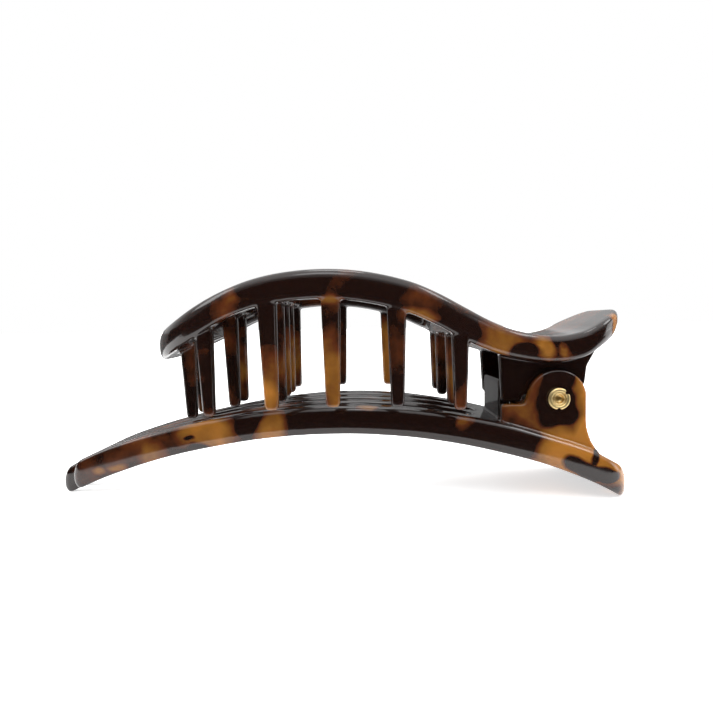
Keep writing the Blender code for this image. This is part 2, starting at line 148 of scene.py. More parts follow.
# Side view of the upper jaw, a row for each section from the front of the ring to the tab's end
UPPER_SECTIONS = (
    # x, bottom, top
    (-35.6, 26.90, 32.30),
    (-30.5, 29.00, 34.60),
    (-24.0, 32.40, 37.90),
    (-18.9, 35.10, 40.15),
    (-13.2, 37.10, 42.10),
    (-7.0, 38.25, 43.30),
    (0.0, 38.50, 43.70),
    (7.0, 37.75, 43.10),
    (14.2, 35.90, 41.40),
    (19.4, 33.60, 39.30),
    (24.6, 30.80, 36.70),
    (29.8, 28.60, 34.15),
    (35.0, 27.10, 32.30),
    (42.0, 26.25, 31.20),
    (47.5, 27.00, 31.95),
    (51.5, 29.20, 33.90),
    (56.5, 32.30, 36.60),
)

# Teeth, a row for each tooth or mirrored pair
TEETH = (
    # x, y, tip height, width at the root, width at the tip, lean of the tip, mirrored
    (-29.4, 3.9, 15.3, 3.0, 2.2, 0.5, True),
    (-23.0, 14.0, 17.3, 3.2, 2.3, 0.5, True),
    (-20.6, 3.9, 17.6, 3.0, 2.3, 0.5, True),
    (-10.6, 18.0, 18.9, 3.5, 2.5, 0.5, True),
    (-10.6, 7.2, 18.9, 3.0, 2.3, 0.5, True),
    (-10.6, 0.0, 19.1, 3.0, 2.3, 0.5, False),
    (0.7, 18.0, 19.3, 3.5, 2.6, 0.1, True),
    (12.3, 18.0, 19.2, 3.5, 2.4, 0.0, True),
    (23.8, 15.9, 18.1, 3.2, 2.3, 0.0, True),
    (23.8, 7.5, 17.9, 3.0, 2.2, 0.0, True),
)
TOOTH_EMBED = 2.4

# Crossbars inside the ring
BARS = (
    # x, width, half length, height
    (-20.6, 3.2, 14.0, 3.4),
    (-10.6, 3.4, 17.5, 4.4),
)
BAR_DROP = 0.45
BAR_EDGE = 0.35

# Ears, in side view
LOWER_EAR_OUTSIDE = 11.6
EAR_THICKNESS = 2.0
EAR_EDGE = 0.3
BORE_OVERRUN = 1.0
BORE_SIDES = 64
UPPER_EAR_OUTSIDE = 9.3
LOWER_EAR_RADIUS = 5.5
LOWER_EAR_STEP = 18.3
LOWER_EAR_FRONT = 32.5
LOWER_EAR_STEP_END = 37.0
LOWER_EAR_STEP_CORNER = 0.4
LOWER_EAR_PLAIN_FOOT = 35.8
LOWER_EAR_PLAIN_TOP = (36.4, 16.3)
LOWER_EAR_REAR = 48.45
LOWER_EAR_REAR_SINK = 0.6
LOWER_EAR_ARCH_START = 168.0
LOWER_EAR_ARCH_END = 10.0
LOWER_EAR_FOOT = 3.2
LOWER_EAR_FLARE = (
    # distance behind LOWER_EAR_REAR, z
    (0.0, 15.1),
    (0.12, 13.7),
    (0.5, 12.2),
    (0.95, 11.0),
    (1.6, 9.9),
    (2.3, 9.0),
)
EAR_ROOT_DEPTH = 2.0
UPPER_EAR_OUTLINE = (
    # x, z, corner radius
    (32.4, 30.5, 0.0),
    (33.1, 18.4, 0.5),
    (36.6, 18.4, 0.5),
    (37.4, 20.2, 1.0),
    (39.9, 19.2, 0.6),
    (39.9, 14.9, 0.8),
    (45.9, 14.3, 0.8),
    (45.9, 20.3, 1.2),
    (49.0, 21.6, 0.8),
    (49.4, 25.2, 1.8),
    (51.8, 29.5, 0.0),
)
CROSS_WALL_FRONT = 33.0
CROSS_WALL_REAR = 35.4
CROSS_WALL_HALF = 7.0
CROSS_WALL_TOP = 22.7
CROSS_WALL_ROUND = 0.7

# Rivet, whose end is a dish with a lip round it and a rolled flange
RIVET_GAP = 0.3
RIVET_SIDES = 144
DISH_DEPTH = 0.35
DISH_ANGLES = (0.0, 0.4, 0.8, 1.2, pi / 2)
LIP_THICKNESS = 0.13
LIP_SINK = 0.2
ROLL_WIDTH = 0.37
ROLL_HEIGHT = 0.27
ROLL_TURN = -1.15 * pi
ROLL_UNDERCUT = 0.15
RIVET_SPLITS = (
    # angle of the notch, radius at its bottom, half its width at the rim in degrees
    (40.0, 1.30, 16.0),
    (268.0, 1.46, 12.0),
)

# Spring
ARM_GAP = 0.3
POINTS_PER_TURN = 40

# Flakes in the acetate
FLAKE_CONTRAST = 1.25
FLAKE_LEVEL = -0.295
FLAKE_DRIFT = 6.0
FEATHER_DEPTH = 0.16
BLOTCH_FULLNESS = 1.6

# Studio, where the camera's turn is its yaw, pitch and roll in degrees
CAMERA_PLACE = (6.44, -113.5, 34.02)
CAMERA_TURN = (0.80, -3.44, -1.01)
FLOOR_GAP = 0.02
SOFTBOXES = (
    # name, place in metres, width in metres, brightness against the others
    ("overhead_softbox", (0.0, -0.05, 0.50), 0.14, 1.0),
    ("right_softbox", (0.38, -0.10, 0.40), 0.18, 1.0),
    ("left_softbox", (-0.45, -0.05, 0.32), 0.22, 0.7),
    ("right_panel", (0.50, -0.04, 0.11), 0.20, 0.5),
    ("front_softbox", (-0.03, -0.30, 0.36), 0.10, 0.6),
)
FLAGS = (
    # name, colour, low corner, high corner
    ("front_flag", "#080808", (-260.0, -78.0, 1.0), (260.0, -76.0, 62.0)),
    ("floor_flag", "#080808", (-260.0, -76.0, 0.5), (260.0, -32.0, 1.0)),
    ("back_flag", "#6a6a6a", (-400.0, 90.0, 0.5), (400.0, 92.0, 48.0)),
    ("left_flag", "#101010", (-262.0, -76.0, 0.5), (-260.0, 90.0, 60.0)),
)

# Blotches of the two jaws: amber where the strength is above nought, near black where it is below. On the
# lower jaw, the dark rows round the rivet on the near ear are painted shade of the upper ear showing
# through
LOWER_BLOTCHES_AND_SHADE = (
    # x, y, z, reach along x, y and z, strength
    (-40.5, -9.0, 8.8, 16.0, 9.0, 7.0, 0.10),
    (-35.7, -9.5, 9.4, 3.0, 4.0, 3.5, 0.26),
    (-45.7, -8.8, 5.9, 2.0, 3.0, 1.0, 0.35),
    (-42.0, -9.0, 6.7, 2.4, 3.0, 1.0, 0.30),
    (-23.9, -10.5, 13.6, 8.5, 6.0, 5.0, 0.42),
    (-27.9, -10.2, 12.5, 1.6, 3.0, 0.5, -0.50),
    (-26.0, -10.2, 10.8, 3.0, 4.0, 1.2, -0.35),
    (-16.0, -11.5, 15.7, 3.0, 4.0, 2.6, -0.55),
    (-11.5, -12.0, 14.3, 4.4, 7.0, 5.0, 0.42),
    (2.0, -12.0, 16.0, 12.0, 9.0, 7.0, -0.45),
    (18.7, -12.0, 14.0, 14.0, 9.0, 7.0, -0.45),
    (31.7, -12.0, 11.5, 9.0, 9.0, 6.0, -0.55),
    (7.0, -13.0, 18.0, 4.0, 4.0, 1.8, 0.70),
    (25.7, -13.0, 14.6, 4.4, 4.0, 3.0, 0.50),
    (47.4, -12.0, 8.2, 11.0, 9.0, 8.0, 0.58),
    (57.0, -10.0, 4.0, 5.0, 9.0, 6.0, 0.75),
    (46.8, -13.3, 6.9, 3.4, 3.5, 2.0, -1.00),
    (49.8, -13.3, 5.5, 3.6, 3.5, 1.9, -1.00),
    (52.0, -13.3, 4.6, 2.6, 3.5, 1.6, -1.00),
    (49.6, -13.3, 9.0, 0.9, 3.0, 1.9, -0.80),
    (56.2, -12.0, 4.6, 0.6, 3.0, 2.6, -0.40),
    (37.5, -11.0, 17.0, 12.0, 3.5, 11.0, 0.34),
    (48.0, -11.0, 17.5, 2.9, 3.0, 11.0, 0.60),
    # These two lines are painted shade round the rivet, where the dark upper ear shows through the near
    # lower ear
    *((42.6, -11.6, z, 3.8, 2.5, 3.2, -0.75) for z in (23.4, 20.9, 18.4)),
    (42.6, -11.6, 16.2, 3.8, 2.5, 3.0, -0.75),
    (42.0, 11.0, 17.0, 9.0, 4.0, 9.0, 0.30),
    (34.2, 0.0, 19.0, 4.0, 8.5, 5.0, -1.00),
)
UPPER_BLOTCHES = (
    # x, y, z, reach along x, y and z, strength
    (-16.8, -18.0, 39.2, 2.8, 5.0, 3.6, 0.08),
    (-26.0, -12.0, 35.0, 10.0, 9.0, 7.0, -0.45),
    (-7.3, -20.0, 41.0, 10.0, 6.0, 5.0, -0.25),
    (-5.0, -19.0, 38.8, 14.0, 4.0, 1.3, 0.22),
    (1.5, -20.0, 39.5, 2.4, 4.0, 3.0, 0.12),
    (8.0, -20.0, 40.0, 7.0, 6.0, 4.0, -0.25),
    (16.8, -19.5, 37.8, 5.5, 5.0, 4.0, 0.10),
    (16.3, -19.5, 35.4, 5.0, 4.0, 1.5, 0.28),
    (25.0, -18.0, 33.3, 3.2, 5.0, 2.6, -0.35),
    (32.1, -16.0, 31.0, 9.0, 7.0, 6.0, 0.55),
    (36.3, -14.5, 29.2, 3.6, 4.0, 2.0, -0.65),
    (40.0, -13.0, 30.0, 3.0, 4.0, 4.0, 0.50),
    (48.6, -11.0, 31.5, 7.5, 8.0, 5.0, -0.70),
    (44.6, -12.4, 29.6, 2.2, 3.0, 3.0, 0.45),
    (53.6, -10.8, 33.2, 1.9, 3.2, 3.2, 1.20),
    (-10.6, -18.0, 23.0, 3.0, 3.0, 9.5, 0.50),
    (-10.6, -18.0, 34.5, 3.0, 3.0, 5.0, -0.30),
    (0.7, -18.0, 29.0, 3.2, 3.0, 15.0, 0.30),
    (12.3, -18.0, 25.0, 3.5, 3.0, 12.0, 0.08),
    (12.3, 18.0, 27.0, 3.5, 4.0, 12.0, 0.50),
    (23.8, -16.0, 26.0, 3.5, 3.0, 12.0, -0.20),
    (23.8, -7.5, 24.0, 3.5, 3.0, 9.0, 0.20),
    (23.8, 13.0, 24.0, 3.5, 9.0, 9.0, 0.35),
    (-29.4, -3.9, 22.0, 3.0, 3.0, 8.0, -0.10),
    (-29.4, 3.9, 19.0, 2.5, 3.0, 7.0, 0.60),
    (-20.6, 3.9, 24.0, 3.0, 3.0, 10.0, 0.30),
    (-10.6, 8.0, 26.0, 4.0, 14.0, 14.0, 0.34),
    (0.7, 18.0, 28.0, 4.0, 4.0, 14.0, 0.20),
    (41.0, -8.5, 22.0, 11.0, 3.0, 8.0, -0.45),
    (43.0, -9.0, 25.0, 2.6, 2.0, 2.0, 0.30),
    (37.0, 9.0, 23.0, 5.0, 4.0, 8.0, 0.25),
)


def float_setting(name, description, default, **facts):
    return bpy.props.FloatProperty(name=name, description=description, default=default, **facts)


def length_setting(name, description, default):
    return float_setting(name, description, default * MM, min=0.0, subtype="DISTANCE", unit="LENGTH")


def colour_setting(name, description, code):
    return bpy.props.FloatVectorProperty(
        name=name, description=description, default=linear(code), size=3, min=0.0, max=1.0,
        subtype="COLOR",
    )


def linear(code):
    """Linear light values of an sRGB hex colour."""
    values = [int(code[i:i + 2], 16) / 255 for i in (1, 3, 5)]
    return [v / 12.92 if v <= 0.04045 else ((v + 0.055) / 1.055) ** 2.4 for v in values]


class HairClipMoulding(bpy.types.PropertyGroup):
    edge_round: length_setting("Edge rounding", "How far the jaws' rounded edges reach in", 1.1)
    slice_length: length_setting("Slice", "Length of each slice that the jaws are bent in", 1.0)
    grain: length_setting("Fusing grain", "Size of the cells that fuse teeth, bars and ears to a jaw", 0.27)
    softening: bpy.props.IntProperty(
        name="Softening", description="Rounds of smoothing after the pieces are fused", default=5, min=0
    )
    kept: float_setting("Kept faces", "Share of the fused faces that is kept", 0.42, min=0.05, max=1.0)


class HairClipTeeth(bpy.types.PropertyGroup):
    root_depth: length_setting("Root depth", "Size of a tooth across the clip at its root", 3.0)
    tip_depth: length_setting("Tip depth", "Size of a tooth across the clip at its tip", 2.2)
    rounding: length_setting("Rounding", "Radius of a tooth's edges and tip", 0.8)


class HairClipRivet(bpy.types.PropertyGroup):
    radius: length_setting("Barrel radius", "Outer radius of the rivet's barrel", 1.5)
    bore: length_setting("Bore radius", "Radius of the hollow in each end", 0.85)
    bore_depth: length_setting("Bore depth", "How deep the hollow's straight side goes", 0.3)
    flange: length_setting("Flange radius", "Outer radius of the rolled flange", 2.05)
    roll: length_setting("Roll thickness", "Height of the rolled flange over the ear", 0.55)
    clearance: length_setting("Bore clearance", "Gap between the rivet's barrel and the ears' bores", 0.3)


class HairClipSpring(bpy.types.PropertyGroup):
    wire: length_setting("Wire radius", "Radius of the spring's wire", 0.5)
    coil: length_setting("Coil radius", "Radius of the coil at the middle of its wire", 2.7)
    half_length: length_setting("Half length", "Half the length of the coil", 4.2)
    arm_end: length_setting("Arm end", "Where the two arms end, along the clip", 50.2)
    turns: bpy.props.IntProperty(name="Turns", description="Whole turns of the coil", default=4, min=1)


class HairClipShell(bpy.types.PropertyGroup):
    dark: colour_setting("Dark", "Colour of the near black flakes", "#160a07")
    brown: colour_setting("Brown", "Colour between the dark and the amber", "#48230f")
    amber: colour_setting("Amber", "Colour of the clear flakes", "#8c5b22")
    roughness: float_setting("Roughness", "Roughness of the polished acetate", 0.13, min=0.0, max=1.0)


class HairClipStage(bpy.types.PropertyGroup):
    lens: float_setting("Lens", "Focal length in millimetres on a 36 mm sensor", 27.27, min=1.0)
    softboxes: float_setting("Softboxes", "Brightness of the softboxes that make highlights", 6.0, min=0.0)
    overhead: float_setting("Overhead", "Brightness of the white tent overhead", 2.2, min=0.0)
    backdrop: float_setting("Backdrop", "Brightness of the white tent behind the clip", 0.85, min=0.0)
    front: float_setting("Front", "Brightness of the tent's open front", 0.4, min=0.0)
    floor_glow: float_setting("Floor glow", "Light that comes up through the white floor", 0.6, min=0.0)
    floor_size: length_setting("Floor size", "Width of the pale floor", 8000.0)


def section(table, x):
    """The columns of a section table at x, on smooth curves through its rows."""
    last = len(table) - 1
    x = min(max(x, table[0][0]), table[last][0])
    i = next(k for k in range(last) if x <= table[k + 1][0])
    x0, x1 = table[i][0], table[i + 1][0]
    span = x1 - x0
    t = (x - x0) / span
    values = []
    for column in range(1, len(table[0])):
        def slope(k):
            before, after = max(k - 1, 0), min(k + 1, last)
            rise = table[after][column] - table[before][column]
            return rise / (table[after][0] - table[before][0])
        a, b = table[i][column], table[i + 1][column]
        values.append(
            a * (1 + 2 * t) * (1 - t) ** 2
            + b * t * t * (3 - 2 * t)
            + slope(i) * span * t * (1 - t) ** 2
            - slope(i + 1) * span * t * t * (1 - t)
        )
    return values


def arc(centre, radii, start, turn, steps):
    """Points on an elliptical arc, its angles in radians."""
    angles = [start + turn * k / steps for k in range(steps + 1)]
    return [(centre[0] + radii[0] * cos(a), centre[1] + radii[1] * sin(a)) for a in angles]


def rounded(corners, steps=8):
    """Outline through (x, y, radius) corners, each turned by an arc of its radius."""
    outline = []
    count = len(corners)
    for i, (x, y, radius) in enumerate(corners):
        here = Vector((x, y))
        if radius == 0.0:
            outline.append((x, y))
            continue
        back = Vector(corners[i - 1][:2]) - here
        ahead = Vector(corners[(i + 1) % count][:2]) - here
        half = back.angle(ahead) / 2
        reach = radius * cos(half) / sin(half)
        start = here + back.normalized() * reach
        centre = here + (back.normalized() + ahead.normalized()).normalized() * radius / sin(half)
        first = start - centre
        turn = (pi - 2 * half) * (1 if back.cross(ahead) < 0 else -1)
        outline += arc(centre, (radius, radius), atan2(first.y, first.x), turn, steps)
    return outline


def ring_outline():
    """Half of the ring and tab from above, from the nose along +Y to the tab's end."""
    nose_radii = (RING_FRONT_CENTRE - RING_FRONT, RING_HALF_WIDTH)
    nose = arc((RING_FRONT_CENTRE, 0.0), nose_radii, pi, -pi / 2, steps=36)
    side_steps = 24
    side = []
    for k in range(side_steps + 1):
        t = k / side_steps
        ease = t * t * (3 - 2 * t)
        side.append((
            RING_SIDE_END + (TAB_START - RING_SIDE_END) * t,
            RING_HALF_WIDTH + (TAB_HALF_WIDTH - RING_HALF_WIDTH) * ease,
        ))
    corner_centre = (TAB_END - TAB_CORNER, TAB_HALF_WIDTH - TAB_CORNER)
    corner = arc(corner_centre, (TAB_CORNER, TAB_CORNER), pi / 2, -pi / 2, steps=14)
    return nose + side + corner


def window_outline():
    """The ring's opening from above: a half ellipse in front, straight sides, a round-cornered rear."""
    inside = RING_HALF_WIDTH - RAIL_WIDTH
    front_radii = (RING_FRONT_CENTRE - WINDOW_FRONT, inside)
    front = arc((RING_FRONT_CENTRE, 0.0), front_radii, pi, -pi / 2, steps=30)
    corner_centre = (WINDOW_END - WINDOW_CORNER, inside - WINDOW_CORNER - WINDOW_REAR_INSET)
    return front + arc(corner_centre, (WINDOW_CORNER, WINDOW_CORNER), pi / 2, -pi / 2, steps=10)


def mirrored(half):
    """The whole outline from its half on +Y."""
    least = 1e-6
    return half + [(x, -y) for x, y in reversed(half) if y > least]


def plate_outline():
    """The plate from above: tail, outer prongs, side slots, inner prongs, centre slot."""
    half = [
        (TAIL_END, PLATE_HALF_WIDTH, TAIL_CORNER),
        (OUTER_PRONG_TIP, PLATE_HALF_WIDTH, PRONG_CORNER),
        (OUTER_PRONG_TIP, OUTER_PRONG_INSIDE, PRONG_CORNER),
        (SIDE_SLOT_END, OUTER_PRONG_INSIDE, SLOT_CORNER),
        (SIDE_SLOT_END, INNER_PRONG_OUTSIDE, SLOT_CORNER),
        (INNER_PRONG_TIP, INNER_PRONG_OUTSIDE, PRONG_CORNER),
        (INNER_PRONG_TIP, CENTRE_SLOT_HALF, PRONG_CORNER),
        (CENTRE_SLOT_END, CENTRE_SLOT_HALF, SLOT_CORNER),
    ]
    return rounded(half + [(x, -y, radius) for x, y, radius in reversed(half)])


def new_object(name, data):
    obj = bpy.data.objects.new(name, data)
    bpy.context.scene.collection.objects.link(obj)
    return obj


def shape_to_mesh(shape, name):
    mesh = bpy.data.meshes.new(name)
    shape.to_mesh(mesh)
    shape.free()
    return mesh


def shade(mesh, crease):
    """Shades the mesh smooth, with its edges sharp from the crease angle on."""
    mesh.shade_smooth()
    mesh.set_sharp_from_angle(angle=crease)


def lay_on_axle(mesh):
    """Turns a mesh that stands round Z on to the hinge's axis."""
    mesh.transform(Matrix.Rotation(pi / 2, 4, "X"))
    mesh.transform(Matrix.Translation(Vector((HINGE_X, 0.0, HINGE_Z)) * MM))


def baked_mesh(obj):
    """Plain mesh of the object as its modifiers leave it."""
    graph = bpy.context.evaluated_depsgraph_get()
    return bpy.data.meshes.new_from_object(obj.evaluated_get(graph))


def flat_solid(name, outlines, half_height, edge, steps=3):
    """Mesh of an extruded outline with holes, its edges rounded, centred on z = 0."""
    curve = bpy.data.curves.new(name, "CURVE")
    curve.dimensions = "2D"
    curve.fill_mode = "BOTH"
    curve.extrude = (half_height - edge) * MM
    curve.bevel_depth = edge * MM
    curve.bevel_resolution = steps
    curve.offset = -edge * MM
    for outline in outlines:
        spline = curve.splines.new("POLY")
        spline.points.add(len(outline) - 1)
        for point, (x, y) in zip(spline.points, outline):
            point.co = (x * MM, y * MM, 0.0, 1.0)
        spline.use_cyclic_u = True
    guide = new_object(name, curve)
    mesh = baked_mesh(guide)
    bpy.data.objects.remove(guide, do_unlink=True)
    shape = bmesh.new()
    shape.from_mesh(mesh)
    bmesh.ops.remove_doubles(shape, verts=shape.verts, dist=MERGE_DISTANCE)
    bmesh.ops.dissolve_limit(
        shape, angle_limit=STRAIGHT_ANGLE, verts=shape.verts, edges=shape.edges
    )
    bmesh.ops.recalc_face_normals(shape, faces=shape.faces)
    shape.to_mesh(mesh)
    shape.free()
    return mesh


def whole_height(x, y):
    return 1.0


def prong_height(x, y):
    """Share of the height that a prong keeps at a place, on the rounding of its tip."""
    tip = INNER_PRONG_TIP if abs(y) < SIDE_SLOT_MIDDLE else OUTER_PRONG_TIP
    along = min(max((tip + TIP_ROUND - x) / TIP_ROUND, 0.0), 1.0)
    return sqrt(1 - (1 - TIP_KEPT ** 2) * along ** 2)


def bend(mesh, table, half_height, edge, slice_length, share=whole_height):
    """Slices a flat solid across its length and lays it between the bottom and top of a side view.

    What would reach below the surface that the clip rests on becomes a small flat on it.
    """
    shape = bmesh.new()
    shape.from_mesh(mesh)
    low = min(v.co.x for v in shape.verts)
    high = max(v.co.x for v in shape.verts)
    slices = int((high - low) / slice_length)
    places = [low + (high - low) * k / slices for k in range(1, slices)]
    if share is prong_height:
        near_tips = (0.05, 0.15, 0.3, 0.5, 0.75, 1.0)
        for tip in (INNER_PRONG_TIP, OUTER_PRONG_TIP):
            places += [(tip + TIP_ROUND * part) * MM for part in near_tips]
    for place in places:
        bmesh.ops.bisect_plane(
            shape, geom=[*shape.verts, *shape.edges, *shape.faces], dist=CUT_TOLERANCE,
            plane_co=(place, 0.0, 0.0), plane_no=(1.0, 0.0, 0.0),
        )
    height = 2 * half_height
    for v in shape.verts:
        level = v.co.z / MM + half_height
        if level < edge:
            level *= LOWER_BAND / edge
        elif level < height - edge:
            level = min(max(level, LOWER_BAND), height - UPPER_SHOULDER)
        else:
            level = height - (height - level) * UPPER_SHOULDER / edge
        bottom, top, *width = section(table, v.co.x / MM)
        kept = share(v.co.x / MM, v.co.y / MM)
        middle = (bottom + top) / 2
        v.co.z = max(middle + (top - bottom) * (level / height - 0.5) * kept, 0.0) * MM
        if width:
            v.co.y *= width[0] / PLATE_HALF_WIDTH
    bmesh.ops.triangulate(shape, faces=shape.faces)
    bmesh.ops.recalc_face_normals(shape, faces=shape.faces)
    shape.to_mesh(mesh)
    shape.free()
    return mesh


def box_mesh(name, corner_at, edge=0.0):
    """A box whose eight corners are corner_at((-0.5 or 0.5) three times), in millimetres."""
    shape = bmesh.new()
    bmesh.ops.create_cube(shape, size=1.0)
    for v in shape.verts:
        v.co = Vector(corner_at(v.co)) * MM
    if edge:
        bmesh.ops.bevel(
            shape, geom=shape.edges[:], offset=edge * MM, segments=4, profile=0.5, affect="EDGES"
        )
    return shape_to_mesh(shape, name)


def between(low, high):
    """Gives box_mesh the corners of a box that reaches from low to high."""
    def corner(unit):
        return [(a + b) / 2 + (b - a) * u for a, b, u in zip(low, high, unit)]
    return corner


def crossbar(x, width, half_length, height):
    """A crossbar under the top of the ring, with its ends inside the rails."""
    def corner(unit):
        place = x + width * unit.x
        top = section(UPPER_SECTIONS, place)[1]
        return place, 2 * half_length * unit.y, top - (BAR_DROP if unit.z > 0 else height)
    return box_mesh("crossbar", corner, BAR_EDGE)


def cross_wall():
    foot = section(LOWER_SECTIONS, CROSS_WALL_FRONT)[1] - EAR_ROOT_DEPTH
    low = Vector((CROSS_WALL_FRONT, -CROSS_WALL_HALF, foot))
    high = Vector((CROSS_WALL_REAR, CROSS_WALL_HALF, CROSS_WALL_TOP))
    return box_mesh("cross_wall", between(low, high), CROSS_WALL_ROUND)


def ear(name, outline, outside):
    """A flat ear whose outline lies in side view, on the -Y side when outside is negative."""
    half = EAR_THICKNESS / 2
    mesh = flat_solid(name, [outline], half, EAR_EDGE)
    middle = outside - half if outside > 0 else outside + half
    mesh.transform(Matrix.Rotation(pi / 2, 4, "X"))
    mesh.transform(Matrix.Translation((0.0, middle * MM, 0.0)))
    return mesh


def lower_ear_outline(stepped):
    """Side view of a lower ear: a step in front on one side, an arch round the rivet, a flared rear."""
    start, end = radians(LOWER_EAR_ARCH_START), radians(LOWER_EAR_ARCH_END)
    radii = (LOWER_EAR_RADIUS, LOWER_EAR_RADIUS)
    arch = arc((HINGE_X, HINGE_Z), radii, start, end - start, steps=30)
    front_foot = section(LOWER_SECTIONS, LOWER_EAR_FRONT)[1] - EAR_ROOT_DEPTH
    rear_end = LOWER_EAR_REAR + LOWER_EAR_FOOT
    rear_foot = section(LOWER_SECTIONS, rear_end)[1] - EAR_ROOT_DEPTH
    step = [
        (LOWER_EAR_FRONT, front_foot),
        (LOWER_EAR_FRONT, LOWER_EAR_STEP - LOWER_EAR_STEP_CORNER),
        (LOWER_EAR_FRONT + LOWER_EAR_STEP_CORNER, LOWER_EAR_STEP),
        (LOWER_EAR_STEP_END - LOWER_EAR_STEP_CORNER, LOWER_EAR_STEP),
        (LOWER_EAR_STEP_END, LOWER_EAR_STEP + LOWER_EAR_STEP_CORNER),
    ]
    plain_foot = section(LOWER_SECTIONS, LOWER_EAR_PLAIN_FOOT)[1] - EAR_ROOT_DEPTH
    plain = [(LOWER_EAR_PLAIN_FOOT, plain_foot), LOWER_EAR_PLAIN_TOP]
    return [
        *(step if stepped else plain),
        *arch,
        *[(LOWER_EAR_REAR + behind, z) for behind, z in LOWER_EAR_FLARE],
        (rear_end, rear_foot + EAR_ROOT_DEPTH - LOWER_EAR_REAR_SINK),
        (rear_end, rear_foot),
    ]


def axle_bore(radius, half_length):
    """A cylinder along the hinge's axis that cuts the ears' bores."""
    shape = bmesh.new()
    bmesh.ops.create_cone(
        shape, cap_ends=True, segments=BORE_SIDES, radius1=radius * MM, radius2=radius * MM,
        depth=2 * half_length * MM,
    )
    mesh = shape_to_mesh(shape, "axle_bore")
    lay_on_axle(mesh)
    return mesh


def add_node(tree, kind, inputs=None, **settings):
    """Adds a node with its settings, and with values, sockets or nodes on its inputs, and returns it."""
    made = tree.nodes.new(kind)
    for key, value in settings.items():
        setattr(made, key, value)
    for socket, value in (inputs or {}).items():
        if isinstance(value, bpy.types.Node):
            value = value.outputs[0]
        if isinstance(value, bpy.types.NodeSocket):
            tree.links.new(value, made.inputs[socket])
        else:
            made.inputs[socket].default_value = value
    return made


def maths_in(tree, kind="ShaderNodeMath"):
    """A function that adds a maths node to the tree and returns it."""
    def maths(operation, *values):
        return add_node(tree, kind, dict(enumerate(values)), operation=operation)
    return maths


def new_tree(name, inputs):
    """A Geometry Nodes tree with a geometry input and the named inputs, its group input and output."""
    tree = bpy.data.node_groups.new(name, "GeometryNodeTree")
    tree.interface.new_socket("Geometry", in_out="INPUT", socket_type="NodeSocketGeometry")
    for label, kind, default in inputs:
        socket = tree.interface.new_socket(label, in_out="INPUT", socket_type=kind)
        if default is not None:
            socket.default_value = default
    tree.interface.new_socket("Geometry", in_out="OUTPUT", socket_type="NodeSocketGeometry")
    return tree, tree.nodes.new("NodeGroupInput").outputs, tree.nodes.new("NodeGroupOutput").inputs


def finish_tree(tree, geometry, look, result):
    """Gives the geometry its material and sends it to the tree's output."""
    finished = add_node(tree, "GeometryNodeSetMaterial", {"Geometry": geometry, "Material": look})
    tree.links.new(finished.outputs[0], result["Geometry"])
    return tree


def run_tree(obj, tree, values):
    """Mesh that the tree makes of the object, with the named inputs set."""
    modifier = obj.modifiers.new(tree.name, "NODES")
    modifier.node_group = tree
    for item in tree.interface.items_tree:
        if item.in_out == "INPUT" and item.name in values:
            modifier[item.identifier] = values[item.name]
    mesh = baked_mesh(obj)
    obj.modifiers.remove(modifier)
    bpy.data.objects.remove(obj, do_unlink=True)
    return mesh


def tooth_tree(settings):
    """Stands a tapering, round-edged tooth under each point, to the sizes that the point carries."""
    tree, given, result = new_tree("Clip teeth", [
        ("Root Depth", "NodeSocketFloat", settings.root_depth),
        ("Tip Depth", "NodeSocketFloat", settings.tip_depth),
        ("Rounding", "NodeSocketFloat", settings.rounding),
        ("Material", "NodeSocketMaterial", None),
    ])
    maths = maths_in(tree)
    vectors = maths_in(tree, "ShaderNodeVectorMath")

    def attribute(name, kind="FLOAT"):
        return add_node(tree, "GeometryNodeInputNamedAttribute", {"Name": name}, data_type=kind)

    def combined(x, y, z):
        return add_node(tree, "ShaderNodeCombineXYZ", {0: x, 1: y, 2: z})

    def mixed(share, a, b):
        return add_node(tree, "ShaderNodeMix", {"Factor": share, 2: a, 3: b})

    cube = add_node(tree, "GeometryNodeMeshCube", {
        "Size": (2.0, 2.0, 2.0), "Vertices X": 9, "Vertices Y": 9, "Vertices Z": 40,
    })
    position = tree.nodes.new("GeometryNodeInputPosition")
    unit_cube = add_node(tree, "GeometryNodeStoreNamedAttribute", {
        "Geometry": cube.outputs["Mesh"], "Name": "unit", "Value": position,
    }, data_type="FLOAT_VECTOR", domain="POINT")
    instances = add_node(tree, "GeometryNodeInstanceOnPoints", {
        "Points": given["Geometry"], "Instance": unit_cube,
    })
    teeth = add_node(tree, "GeometryNodeRealizeInstances", {0: instances})
    unit = attribute("unit", "FLOAT_VECTOR")
    unit_z = add_node(tree, "ShaderNodeSeparateXYZ", {0: unit}).outputs["Z"]
    down = maths("MULTIPLY_ADD", unit_z, -0.5, 0.5)
    half_width = maths("MULTIPLY", mixed(down, attribute("root_width"), attribute("tip_width")), 0.5)
    half_depth = maths("MULTIPLY", mixed(down, given["Root Depth"], given["Tip Depth"]), 0.5)
    half_length = maths("MULTIPLY", attribute("length"), 0.5)
    half_sizes = combined(half_width, half_depth, half_length)
    corner = vectors("MULTIPLY", unit, half_sizes)
    rounding = combined(given["Rounding"], given["Rounding"], given["Rounding"])
    core_high = vectors("SUBTRACT", half_sizes, rounding)
    core_low = vectors("MULTIPLY", core_high, (-1.0, -1.0, -1.0))
    core = vectors("MINIMUM", vectors("MAXIMUM", corner, core_low), core_high)
    outward = vectors("NORMALIZE", vectors("SUBTRACT", corner, core))
    surface = vectors("ADD", core, vectors("MULTIPLY", outward, rounding))
    shift = combined(maths("MULTIPLY", attribute("lean"), down), 0.0, maths("MULTIPLY", half_length, -1.0))
    origin = vectors("SUBTRACT", position, unit)
    place = vectors("ADD", vectors("ADD", origin, surface), shift)
    shaped = add_node(tree, "GeometryNodeSetPosition", {"Geometry": teeth, "Position": place})
    return finish_tree(tree, shaped, given["Material"], result)


